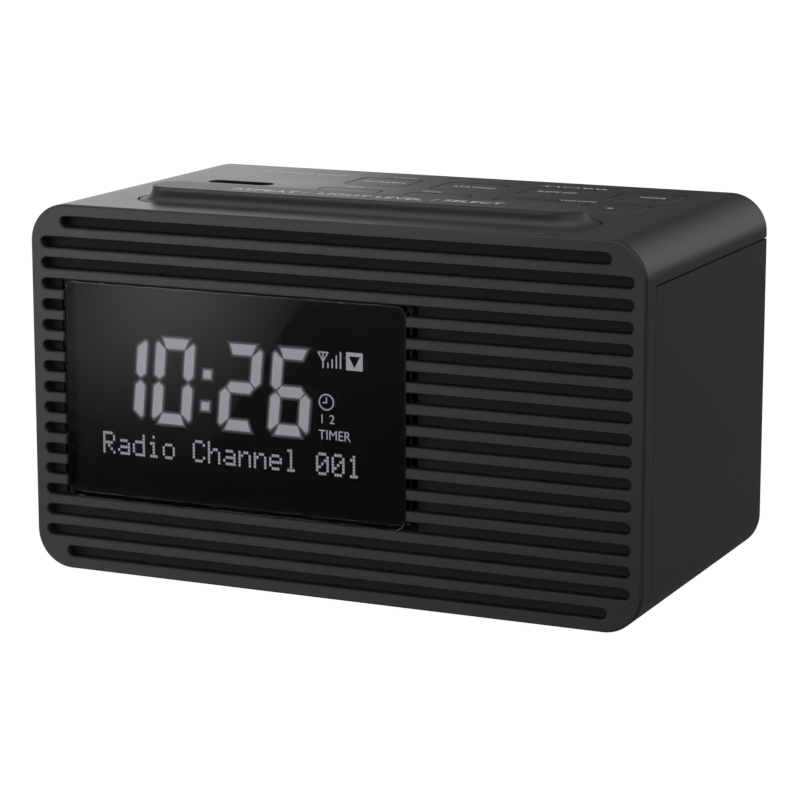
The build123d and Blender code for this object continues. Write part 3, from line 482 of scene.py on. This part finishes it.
# ------- flat pieces drawn in a plane: the display's content and the printed labels
def flatMesh(name, polygons, toPlace, thickness):
    # closed thin plates from outlines of (x, y) points in mm, placed by toPlace(x, y, depth)
    shape = bmesh.new()
    for outline in polygons:
        front = [shape.verts.new(toPlace(x, y, thickness)) for x, y in outline]
        back = [shape.verts.new(toPlace(x, y, 0.0)) for x, y in outline]
        shape.faces.new(front)
        shape.faces.new(back[::-1])
        for i in range(len(outline)):
            j = (i + 1) % len(outline)
            shape.faces.new((front[j], front[i], back[i], back[j]))
    bmesh.ops.recalc_face_normals(shape, faces=shape.faces)
    mesh = bpy.data.meshes.new(name)
    shape.to_mesh(mesh)
    shape.free()
    return mesh


def rectangle(left, right, low, high):
    return [(left, low), (right, low), (right, high), (left, high)]


display = {
    "digitLow": 42.5, "digitHeight": 22.6, "digitWidth": 11.2, "stroke": 2.7, "cut": 0.27,
    "corner": 0.9, "slant": 0.085,
    "digits": [(-64.4, "1"), (-50.5, "0"), (-31.1, "2"), (-16.7, "6")],
    "colonX": -35.2, "colonHeights": (56.5, 48.1), "colonSize": 2.2,
    "textLeft": -66.2, "textTop": 39.0, "dotPitchX": 0.739, "dotPitchY": 0.85, "dotGap": 0.15,
    "words": "Radio Channel 001", "haloReach": (0.35, 0.75),
}
segmentsOf = {"0": "abcdef", "1": "bc", "2": "abged", "6": "acdefg"}
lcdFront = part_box("lcd_glass")[0][1]


def onLcd(x, z, depth):
    # depth counts from the LCD glass towards the viewer
    return Vector((x * mm, lcdFront - 0.03 * mm - depth * mm, z * mm))


def segment(kind, left, low):
    # mitred bars: the outer side is the longer one, and the middle bar is pointed at both ends
    width, height = display["digitWidth"], display["digitHeight"]
    stroke, cut, corner = display["stroke"], display["cut"], display["corner"]
    right, top, half, reach = left + width, low + height, low + height / 2, stroke / 2
    if kind == "g":
        inner = left + stroke + cut * 0.6
        outer = right - stroke - cut * 0.6
        return [(left + reach + 2 * cut, half), (inner, half - reach), (outer, half - reach),
                (right - reach - 2 * cut, half), (outer, half + reach), (inner, half + reach)]
    bars = {
        "a": [(left + 1.8 * corner + cut, top), (right - 1.8 * corner - cut, top),
              (right - stroke - cut, top - stroke), (left + stroke + cut, top - stroke)],
        "f": [(left, top - corner - 3 * cut), (left + corner * 0.6, top - corner - cut),
              (left + stroke, top - stroke - cut), (left + stroke, half + reach + cut),
              (left + reach, half + 1.6 * cut), (left, half + reach + cut)],
    }
    bars["d"] = [(x, low + top - z) for x, z in bars["a"]]
    bars["b"] = [(left + right - x, z) for x, z in bars["f"]]
    bars["e"] = [(x, low + top - z) for x, z in bars["f"]]
    bars["c"] = [(left + right - x, low + top - z) for x, z in bars["f"]]
    return bars[kind]


def slanted(outline):
    middle = display["digitLow"] + display["digitHeight"] / 2
    return [(x + (z - middle) * display["slant"], z) for x, z in outline]


def grown(outline, reach):
    # the outline with every side moved outwards by the reach
    points = [Vector(p) for p in outline]
    centre = sum(points, Vector((0, 0))) / len(points)
    lines = []
    for i, start in enumerate(points):
        along = (points[(i + 1) % len(points)] - start).normalized()
        out = Vector((along.y, -along.x))
        if (start - centre).dot(out) < 0:
            out = -out
        lines.append((start + out * reach, along))
    corners = []
    for i, (start, along) in enumerate(lines):
        before, beforeAlong = lines[i - 1]
        cross = along.x * beforeAlong.y - along.y * beforeAlong.x
        gap = before - start
        corners.append(tuple(start + along * ((gap.x * beforeAlong.y - gap.y * beforeAlong.x) / cross)))
    return corners


outlines = []
for left, digit in display["digits"]:
    for kind in segmentsOf[digit]:
        outlines.append(slanted(segment(kind, left, display["digitLow"])))
half = display["colonSize"] / 2
for z in display["colonHeights"]:
    dot = rectangle(display["colonX"] - half, display["colonX"] + half, z - half, z + half)
    outlines.append(slanted(dot))
addPiece("timeDigits", flatMesh("timeDigits", outlines, onLcd, 0.08), "cabinet", "segmentGlow")
for name, reach, depth in zip(("haloInner", "haloOuter"), display["haloReach"], (0.05, 0.02)):
    wide = [grown(outline, reach) for outline in outlines]
    addPiece(name, flatMesh(name, wide, onLcd, depth), "cabinet", name)


def ringOutline(x, z, outer, inner, start, end, steps=24):
    angles = [radians(start + (end - start) * i / steps) for i in range(steps + 1)]
    return [(x + outer * cos(a), z + outer * sin(a)) for a in angles] + \
        [(x + inner * cos(a), z + inner * sin(a)) for a in reversed(angles)]


mast = [rectangle(-2.1, -1.75, 60.9, 64.7), rectangle(-3.4, -0.45, 64.7, 65.05),
        [(-3.4, 64.7), (-2.1, 62.6), (-2.1, 63.2), (-3.0, 64.7)],
        [(-0.45, 64.7), (-0.85, 64.7), (-1.75, 63.2), (-1.75, 62.6)]]
bars = [rectangle(-0.75 + 1.17 * i, -0.37 + 1.17 * i, 60.95, 62.3 + 1.0 * i) for i in range(4)]
arrowBox = [rectangle(4.5, 9.1, 64.4, 65.4),
            [(4.5, 60.8), (6.8, 60.8), (6.8, 61.4), (5.2, 64.4), (4.5, 64.4)],
            [(9.1, 60.8), (9.1, 64.4), (8.4, 64.4), (6.8, 61.4), (6.8, 60.8)]]
clock = [ringOutline(-1.05, 52.1, 2.15, 1.82, 0, 180), ringOutline(-1.05, 52.1, 2.15, 1.82, 180, 360),
         rectangle(-1.2, -0.88, 51.8, 53.4), rectangle(-2.1, -1.2, 51.8, 52.12)]
icons = mast + bars + arrowBox + clock
addPiece("displayIcons", flatMesh("displayIcons", icons, onLcd, 0.06), "cabinet", "segmentGlow")

glyphs = {
    "R": "xxxx./x...x/x...x/xxxx./x.x../x..x./x...x", "a": "...../...../.xxx./....x/.xxxx/x...x/.xxxx",
    "d": "....x/....x/.xxxx/x...x/x...x/x...x/.xxxx", "i": "..x../...../.xx../..x../..x../..x../.xxx.",
    "o": "...../...../.xxx./x...x/x...x/x...x/.xxx.", "C": ".xxx./x...x/x..../x..../x..../x...x/.xxx.",
    "h": "x..../x..../x.xx./xx..x/x...x/x...x/x...x", "n": "...../...../x.xx./xx..x/x...x/x...x/x...x",
    "e": "...../...../.xxx./x...x/xxxxx/x..../.xxx.", "l": ".xx../..x../..x../..x../..x../..x../.xxx.",
    "0": ".xxx./x...x/x..xx/x.x.x/xx..x/x...x/.xxx.", "1": "..x../.xx../..x../..x../..x../..x../.xxx.",
}


def dotPoints():
    points = []
    for place, letter in enumerate(display["words"]):
        for row, line in enumerate(glyphs.get(letter, "").split("/")):
            for column, mark in enumerate(line):
                if mark == "x":
                    x = display["textLeft"] + ((place * 6) + column + 0.5) * display["dotPitchX"]
                    z = display["textTop"] - (row + 0.5) * display["dotPitchY"]
                    points.append(onLcd(x, z, 0.03))
    return points


def dotTree():
    # one small plate on every point
    tree = bpy.data.node_groups.new("dotMatrix", "GeometryNodeTree")
    tree.interface.new_socket(name="Geometry", in_out="INPUT", socket_type="NodeSocketGeometry")
    for label in ("Width", "Height", "Depth"):
        tree.interface.new_socket(name=label, in_out="INPUT", socket_type="NodeSocketFloat")
    tree.interface.new_socket(name="Finish", in_out="INPUT", socket_type="NodeSocketMaterial")
    tree.interface.new_socket(name="Geometry", in_out="OUTPUT", socket_type="NodeSocketGeometry")
    start = tree.nodes.new("NodeGroupInput")
    end = tree.nodes.new("NodeGroupOutput")
    plate = tree.nodes.new("GeometryNodeMeshCube")
    size = tree.nodes.new("ShaderNodeCombineXYZ")
    for axis, label in zip("XYZ", ("Width", "Depth", "Height")):
        tree.links.new(start.outputs[label], size.inputs[axis])
    tree.links.new(size.outputs["Vector"], plate.inputs["Size"])
    scatter = tree.nodes.new("GeometryNodeInstanceOnPoints")
    tree.links.new(start.outputs["Geometry"], scatter.inputs["Points"])
    tree.links.new(plate.outputs["Mesh"], scatter.inputs["Instance"])
    real = tree.nodes.new("GeometryNodeRealizeInstances")
    tree.links.new(scatter.outputs["Instances"], real.inputs["Geometry"])
    coat = tree.nodes.new("GeometryNodeSetMaterial")
    tree.links.new(real.outputs["Geometry"], coat.inputs["Geometry"])
    tree.links.new(start.outputs["Finish"], coat.inputs["Material"])
    tree.links.new(coat.outputs["Geometry"], end.inputs["Geometry"])
    return tree


def scattered(name, points, width, height, depth, finish, body, tree):
    mesh = bpy.data.meshes.new(name)
    mesh.from_pydata(points, [], [])
    seed = bpy.data.objects.new(name, mesh)
    bpy.context.scene.collection.objects.link(seed)
    modifier = seed.modifiers.new("scatter", "NODES")
    modifier.node_group = tree
    inputs = {item.name: item.identifier for item in tree.interface.items_tree if item.in_out == "INPUT"}
    for label, value in (("Width", width), ("Height", height), ("Depth", depth)):
        modifier[inputs[label]] = value
    modifier[inputs["Finish"]] = finishes[finish]
    bpy.context.view_layer.update()
    evaluated = seed.evaluated_get(bpy.context.evaluated_depsgraph_get())
    result = bpy.data.meshes.new_from_object(evaluated)
    seed.modifiers.clear()
    seed.data = result
    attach(seed, body)
    return seed


dots = dotTree()
dotWidth = (display["dotPitchX"] - display["dotGap"]) * mm
dotHeight = (display["dotPitchY"] - display["dotGap"]) * mm
scattered("textDots", dotPoints(), dotWidth, dotHeight, 0.06 * mm, "segmentGlow", "cabinet",
          dots)


def wordMesh(text, size, width):
    # the word centred on the origin, its capitals as high as the size, squeezed to a width if one is given
    curve = bpy.data.curves.new("word", "FONT")
    curve.body = text
    curve.size = size * mm / 0.69
    curve.align_x = "CENTER"
    curve.align_y = "CENTER"
    curve.extrude = 0.012 * mm
    holder = bpy.data.objects.new("word", curve)
    bpy.context.scene.collection.objects.link(holder)
    bpy.context.view_layer.update()
    mesh = bpy.data.meshes.new_from_object(holder.evaluated_get(bpy.context.evaluated_depsgraph_get()))
    bpy.data.objects.remove(holder)
    across = [corner.co.x for corner in mesh.vertices]
    if width:
        mesh.transform(Matrix.Diagonal((width * mm / (max(across) - min(across)), 1.0, 1.0, 1.0)))
    return mesh


def printed(name, words, body, finish, upright=False):
    # words: (text, height of the capitals, width or 0, x, y, z) in mm, lying flat or standing on the LCD
    joined = bmesh.new()
    for text, size, width, x, y, z in words:
        mesh = wordMesh(text, size, width)
        turn = Matrix.Rotation(radians(90), 4, "X") if upright else Matrix.Identity(4)
        mesh.transform(Matrix.Translation((x * mm, y * mm, z * mm)) @ turn)
        joined.from_mesh(mesh)
    mesh = bpy.data.meshes.new(name)
    bmesh.ops.remove_doubles(joined, verts=joined.verts, dist=1e-7)
    joined.to_mesh(mesh)
    joined.free()
    return addPiece(name, mesh, body, finish)


lcdY = lcdFront / mm - 0.05
displayWords = [("TIMER", 2.5, 9.0, 1.2, lcdY, 43.5), ("1", 2.3, 0, -2.3, lcdY, 47.6),
                ("2", 2.3, 0, 0.5, lcdY, 47.6)]
printed("displayWords", displayWords, "cabinet", "segmentGlow", True)
inkLift = 0.013  # mm, so that the ink's underside just clears the moulding
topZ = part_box("upper_cabinet")[1][2] / mm + inkLift
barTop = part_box("snooze_bar")[1][2] / mm + inkLift
backRow = sum(corner[1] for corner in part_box("band_button")) / 2 / mm
frontRow = sum(corner[1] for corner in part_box("volume_up_button")) / 2 / mm
# the cover and the bar: (text, height, width, x, y); the keys: (key, text, height, width, x)
labels = {
    "cover": [("USB CHARGING SOCKET", 1.7, 27.0, -46.9, 35.0), ("LIGHT", 1.2, 7.0, -16.0, backRow + 9.6),
              ("TIMER", 1.2, 20.0, 33.5, backRow + 10.2), ("TONE", 1.2, 5.6, 1.6, frontRow + 10.4),
              ("VOLUME", 1.4, 10.4, 43.8, frontRow + 9.2), ("SET", 1.2, 5.0, -21.0, frontRow + 10.4)],
    "keys": [("display", "SCREEN", 1.9, 12.6, -18.0), ("preset", "STATION", 1.7, 12.0, 8.6),
             ("sleep", "SLOW OFF", 1.9, 11.0, 32.4), ("band", "MODE", 1.5, 7.0, 59.5)],
    "marks": [("volume_down", "–", 3.0, 31.4), ("volume_up", "+", 3.0, 56.0)],
    "bar": [("REPEAT", 3.0, 18.4, -27.3, -26.0), ("/", 3.0, 1.2, -15.8, -25.7),
            ("LIGHT LEVEL", 3.0, 29.2, 2.3, -25.2), ("/", 3.0, 1.2, 19.8, -24.4),
            ("SELECT", 3.0, 15.8, 30.2, -24.0)],
}
coverWords = [(*label, topZ) for label in labels["cover"]]
printed("coverLabels", coverWords, "cabinet", "labelInk")
barWords = [(*label, barTop) for label in labels["bar"]]
printed("barLabel", barWords, "snooze", "labelInk")
for key, text, size, width, x in labels["keys"]:
    keyWord = [(text, size, width, x, backRow, topZ)]
    printed(key + "_word", keyWord, key + "_key", "labelInk")
for key, mark, size, x in labels["marks"]:
    keyMark = [(mark, size, 0, x, frontRow, topZ)]
    printed(key + "_mark", keyMark, key + "_key", "labelInk")
print("display and labels drawn")


# ------- studio
studio = {
    "floorLeft": 0.55, "floorRight": 0.07, "floorPaint": 0.05, "floorReach": 6,
    "airLeft": 0.34, "airMiddle": 0.07, "airRight": 0.72,
    "overheadPower": 9.0, "overheadSize": (1.6, 1.6), "overheadPlace": (-0.2, 0.15, 1.5),
    "sidePower": 1.8, "sideSize": (0.6, 0.1), "sidePlace": (-0.46, -0.56, 0.06),
    "wallGlow": 1.35, "wallEdge": -1.04, "wallPlace": 2.2, "wallHeight": 1.6,
    "cardHeight": 0.0004, "cardNear": -0.06, "panelGlow": 1.0, "panelHalfWidth": 0.075,
    "panelLean": (0.484, -0.049), "panelEdge": (0.3675, -0.041), "panelFade": (-0.46, -0.15),
}


def stageMaterial(name, paint):
    # an unlit stage material: the paint's colour and its glow are wired in by the caller
    material = bpy.data.materials.new(name)
    material.use_nodes = True
    tree = material.node_tree
    shader = tree.nodes["Principled BSDF"]
    shader.inputs["Base Color"].default_value = (paint, paint, paint, 1.0)
    shader.inputs["Roughness"].default_value = 0.9
    shader.inputs["Specular IOR Level"].default_value = 0.0
    shader.inputs["Emission Color"].default_value = (1, 1, 1, 1)
    place = tree.nodes.new("ShaderNodeTexCoord")
    split = tree.nodes.new("ShaderNodeSeparateXYZ")
    tree.links.new(place.outputs["Object"], split.inputs["Vector"])
    return material, tree, shader, split


def ramp(tree, value, fromLow, fromHigh, toLow, toHigh):
    node = tree.nodes.new("ShaderNodeMapRange")
    node.interpolation_type = "SMOOTHSTEP"
    tree.links.new(value, node.inputs["Value"])
    limits = {"From Min": fromLow, "From Max": fromHigh, "To Min": toLow, "To Max": toHigh}
    for label, number in limits.items():
        node.inputs[label].default_value = number
    return node.outputs["Result"]


def leaning(tree, along, line):
    # the value of a straight line: slope and start
    slope, start = line
    return mathNode(tree, "ADD", mathNode(tree, "MULTIPLY", along, slope), start)


def stagePlane(name, corners, material, glossyOnly=False):
    mesh = bpy.data.meshes.new(name)
    mesh.from_pydata(corners, [], [tuple(range(len(corners)))])
    mesh.materials.append(material)
    plane = bpy.data.objects.new(name, mesh)
    bpy.context.scene.collection.objects.link(plane)
    if glossyOnly:
        plane.visible_camera = False
        plane.visible_diffuse = False
        plane.visible_shadow = False
        plane.visible_transmission = False
    return plane


# the table: plain white to the camera, clear from below, and lit more on the left for the radio
floorPaper, tree, shader, split = stageMaterial("floorPaper", studio["floorPaint"])
glow = ramp(tree, split.outputs["X"], -0.45, 0.12, studio["floorLeft"], studio["floorRight"])
path = tree.nodes.new("ShaderNodeLightPath")
brighter = mathNode(tree, "MAXIMUM", glow, path.outputs["Is Camera Ray"])
tree.links.new(brighter, shader.inputs["Emission Strength"])
clear = tree.nodes.new("ShaderNodeBsdfTransparent")
side = tree.nodes.new("ShaderNodeNewGeometry")
oneSided = tree.nodes.new("ShaderNodeMixShader")
tree.links.new(side.outputs["Backfacing"], oneSided.inputs[0])
tree.links.new(shader.outputs["BSDF"], oneSided.inputs[1])
tree.links.new(clear.outputs["BSDF"], oneSided.inputs[2])
tree.links.new(oneSided.outputs["Shader"], tree.nodes["Material Output"].inputs["Surface"])
reach = studio["floorReach"]
floorCorners = [(-reach, -reach, 0), (reach, -reach, 0), (reach, reach, 0), (-reach, reach, 0)]
stagePlane("floor", floorCorners, floorPaper)

# a dark card in front, seen only in reflections, with one soft pale band across it
panelPaper, tree, shader, split = stageMaterial("panelPaper", 0.0)
middle = leaning(tree, split.outputs["Y"], studio["panelLean"])
across = mathNode(tree, "ABSOLUTE", mathNode(tree, "SUBTRACT", split.outputs["X"], middle))
band = ramp(tree, across, 0.0, studio["panelHalfWidth"], studio["panelGlow"], 0.0)
fade = ramp(tree, split.outputs["Y"], *studio["panelFade"], 1.0, 0.0)
edge = leaning(tree, split.outputs["Y"], studio["panelEdge"])
inside = mathNode(tree, "LESS_THAN", split.outputs["X"], edge)
soft = mathNode(tree, "MULTIPLY", band, fade)
tree.links.new(mathNode(tree, "MULTIPLY", soft, inside), shader.inputs["Emission Strength"])
near, level = studio["cardNear"], studio["cardHeight"]
cardCorners = [(-2.0, near, level), (-2.0, -3.0, level), (3, -3.0, level), (3, near, level)]
stagePlane("darkCard", cardCorners, panelPaper, True)

# a pale wall behind on the left, which the top reflects
wallPaper, tree, shader, split = stageMaterial("wallPaper", 0.0)
shader.inputs["Emission Strength"].default_value = studio["wallGlow"]
edge, back, high = studio["wallEdge"], studio["wallPlace"], studio["wallHeight"]
wallCorners = [(-4.0, back, 0), (edge, back, 0), (edge, back, high), (-4.0, back, high)]
wall = stagePlane("paleWall", wallCorners, wallPaper)
wall.visible_camera = False


def softLight(name, power, size, place):
    lamp = bpy.data.lights.new(name, "AREA")
    lamp.shape = "RECTANGLE"
    lamp.size, lamp.size_y = size
    lamp.energy = power
    holder = bpy.data.objects.new(name, lamp)
    holder.location = place
    holder.rotation_euler = (Vector(place) - Vector((0, 0, 0.05))).to_track_quat("Z", "Y").to_euler()
    bpy.context.scene.collection.objects.link(holder)


softLight("overhead", studio["overheadPower"], studio["overheadSize"], studio["overheadPlace"])
softLight("sideLight", studio["sidePower"], studio["sideSize"], studio["sidePlace"])

# the air: paler on the left and the right than behind
world = bpy.data.worlds.new("studioAir")
bpy.context.scene.world = world
world.use_nodes = True
worldTree = world.node_tree
air = worldTree.nodes["Background"]
air.inputs["Color"].default_value = (1, 1, 1, 1)
direction = worldTree.nodes.new("ShaderNodeTexCoord")
split = worldTree.nodes.new("ShaderNodeSeparateXYZ")
worldTree.links.new(direction.outputs["Generated"], split.inputs["Vector"])
leftAir = ramp(worldTree, split.outputs["X"], -0.8, -0.45, studio["airLeft"], studio["airMiddle"])
rightAir = ramp(worldTree, split.outputs["X"], -0.2, 0.5, 0.0, studio["airRight"])
worldPath = worldTree.nodes.new("ShaderNodeLightPath")
worldTree.links.new(mathNode(worldTree, "MAXIMUM", mathNode(worldTree, "ADD", leftAir, rightAir),
                             worldPath.outputs["Is Camera Ray"]), air.inputs["Strength"])

camera = {
    "azimuth": 24.45, "elevation": 11.6, "distance": 0.7978, "aim": (0.0, -0.002, 0.0448), "lens": 135.16,
}
cameraData = bpy.data.cameras.new("studioCamera")
cameraData.lens = camera["lens"]
cameraData.sensor_width = 36.0
cameraData.clip_start = 0.01
cameraObject = bpy.data.objects.new("studioCamera", cameraData)
bpy.context.scene.collection.objects.link(cameraObject)
flat = cos(radians(camera["elevation"])) * camera["distance"]
offset = Vector((flat * sin(radians(camera["azimuth"])), -flat * cos(radians(camera["azimuth"])),
                 sin(radians(camera["elevation"])) * camera["distance"]))
cameraObject.location = Vector(camera["aim"]) + offset
cameraObject.rotation_euler = (-offset).to_track_quat("-Z", "Y").to_euler()
bpy.context.scene.camera = cameraObject
bpy.context.scene.view_settings.view_transform = "Standard"
print("studio ready")
